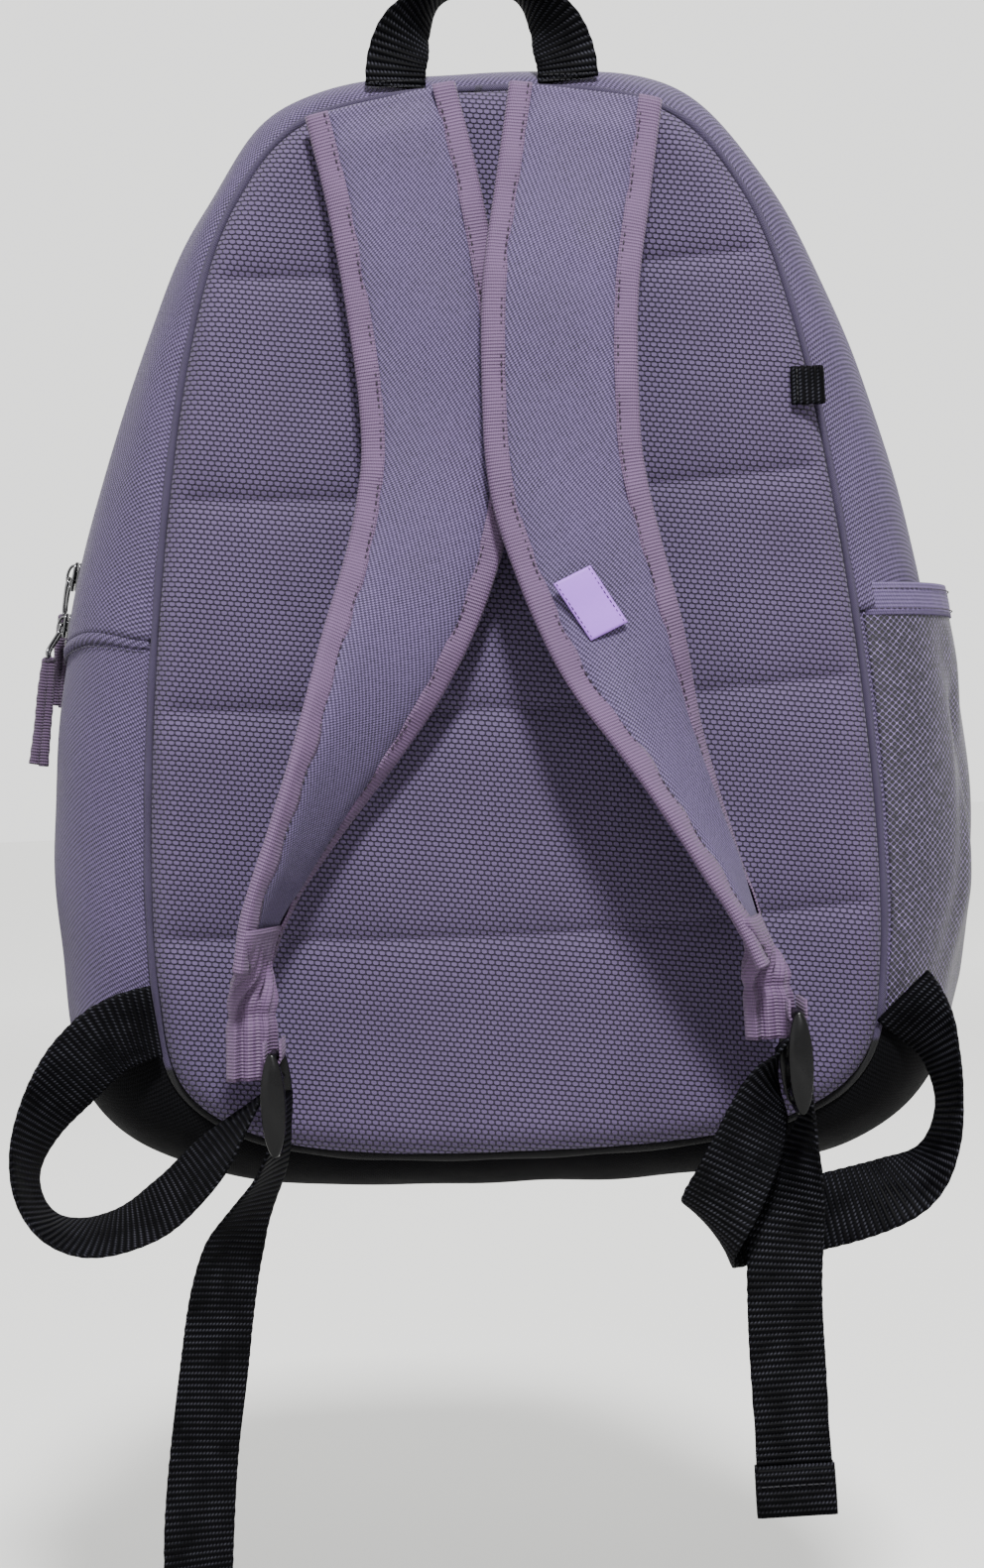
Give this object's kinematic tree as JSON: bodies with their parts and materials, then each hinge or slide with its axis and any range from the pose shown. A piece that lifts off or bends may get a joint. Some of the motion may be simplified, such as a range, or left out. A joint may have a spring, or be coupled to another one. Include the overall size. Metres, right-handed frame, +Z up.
{
  "type": "hiking daypack",
  "caption": "Soft zipped daypack hung from its haul loop, with a quilted back pad, padded shoulder straps, webbing adjusters, and a mesh bottle pocket.",
  "frame": {"origin": "under the crown of the haul loop, where a hook bears", "axes": "+X to the right seen from the wearer's side, +Y from the wearer's side into the bag, +Z up as it hangs"},
  "size_m": [0.4094, 0.2152, 0.7277],
  "materials": {
    "body_cloth": "woven polyester, soft sheen",
    "back_pad_cloth": "coarse dobby weave",
    "dark_piping": "rolled cloth edge",
    "mauve_tape": "ribbed grosgrain tape",
    "black_cloth": "woven polyester",
    "black_webbing": "ribbed polyester webbing",
    "buckle_plastic": "moulded, semi-gloss",
    "gunmetal": "dark plated zinc",
    "zip_tape": "woven zip tape",
    "zip_coil": "nylon coil",
    "lilac_label": "smooth woven label, blank",
    "pocket_mesh": "open warp-knit mesh",
    "foam": "closed-cell foam",
    "coated_lining": "coated cloth"
  },
  "bodies": {
    "pack": {"back_panel_face": "back_pad_cloth", "back_panel_foam": "foam", "back_panel_lining": "coated_lining", "base_panel": "black_cloth", "front_panel": "body_cloth", "front_pocket_face": "body_cloth", "front_pocket_gusset": "body_cloth", "front_pocket_zip_coil": "zip_coil", "front_pocket_zip_tape": "zip_tape", "front_seam_binding": "black_cloth", "front_seam_piping": "dark_piping", "haul_loop": "black_webbing", "main_zip_coil": "zip_coil", "main_zip_end_stop": "zip_coil", "main_zip_tape_front": "zip_tape", "main_zip_tape_rear": "zip_tape", "mesh_pocket": "pocket_mesh", "pocket_elastic": "mauve_tape", "rear_seam_binding": "black_cloth", "rear_seam_piping": "dark_piping", "side_panel_left": "body_cloth", "side_panel_right": "body_cloth", "side_seam_left": "body_cloth", "side_tab": "black_webbing", "webbing_loop_left": "black_webbing", "webbing_loop_right": "black_webbing", "zip_gusset_front": "body_cloth", "zip_gusset_rear": "body_cloth"},
    "main_slider_upper": {"main_slider_upper": "gunmetal"},
    "main_slider_lower": {"main_slider_lower": "gunmetal"},
    "main_pull_upper": {"main_pull_link_upper": "gunmetal", "main_pull_tape_upper": "mauve_tape"},
    "main_pull_lower": {"main_pull_link_lower": "gunmetal", "main_pull_tape_lower": "mauve_tape"},
    "pocket_slider": {"front_pocket_slider": "gunmetal"},
    "pocket_pull": {"front_pocket_pull": "mauve_tape"},
    "strap_left": {"strap_left_face": "body_cloth", "strap_left_foam": "foam", "strap_left_lining": "pocket_mesh", "strap_left_binding": "mauve_tape", "strap_left_tape_loop": "mauve_tape"},
    "strap_right": {"strap_right_face": "body_cloth", "strap_right_foam": "foam", "strap_right_lining": "pocket_mesh", "strap_right_binding": "mauve_tape", "strap_right_tape_loop": "mauve_tape", "strap_label": "lilac_label"},
    "buckle_left": {"ladder_lock_left": "buckle_plastic", "webbing_tail_left": "black_webbing"},
    "buckle_right": {"ladder_lock_right": "buckle_plastic", "webbing_tail_right": "black_webbing"}
  },
  "joints": [
    {"name": "main_slider_upper_travel", "type": "hinge", "parent": "pack", "child": "main_slider_upper", "pos_m": [0.31764, 0.057, -0.35732], "axis": [0, 1, 0], "range_deg": [0, 9.5]},
    {"name": "main_slider_lower_travel", "type": "hinge", "parent": "pack", "child": "main_slider_lower", "pos_m": [0.31764, 0.057, -0.35732], "axis": [0, 1, 0], "range_deg": [0, 0.3]},
    {"name": "main_pull_upper_swing", "type": "hinge", "parent": "main_slider_upper", "child": "main_pull_upper", "pos_m": [-0.18801, 0.057, -0.2322], "axis": [0, 1, 0], "range_deg": [0, 80]},
    {"name": "main_pull_lower_swing", "type": "hinge", "parent": "main_slider_lower", "child": "main_pull_lower", "pos_m": [-0.19252, 0.057, -0.25211], "axis": [0, 1, 0], "range_deg": [0, 80]},
    {"name": "pocket_slider_travel", "type": "slide", "parent": "pack", "child": "pocket_slider", "axis": [1, 0, 0], "range_m": [0, 0.184]},
    {"name": "pocket_pull_flip", "type": "hinge", "parent": "pocket_slider", "child": "pocket_pull", "pos_m": [-0.092, 0.1446, -0.274], "axis": [0, 0, 1], "range_deg": [0, 165]},
    {"name": "strap_left_swing", "type": "hinge", "parent": "pack", "child": "strap_left", "pos_m": [0, -0.013, -0.046], "axis": [-1, 0, 0], "range_deg": [0, 30], "deforming": ["webbing_loop_left"]},
    {"name": "strap_right_swing", "type": "hinge", "parent": "pack", "child": "strap_right", "pos_m": [0, -0.013, -0.046], "axis": [-1, 0, 0], "range_deg": [0, 30], "deforming": ["webbing_loop_right"]},
    {"name": "buckle_left_pivot", "type": "hinge", "parent": "strap_left", "child": "buckle_left", "pos_m": [-0.099, -0.044, -0.4328], "axis": [0, 1, 0], "range_deg": [-10, 10]},
    {"name": "buckle_right_pivot", "type": "hinge", "parent": "strap_right", "child": "buckle_right", "pos_m": [0.1085, -0.044, -0.4248], "axis": [0, 1, 0], "range_deg": [-10, 10]}
  ],
  "couplings": [
    {"joint": "strap_right_swing", "follows": "strap_left_swing", "ratio": 1}
  ]
}
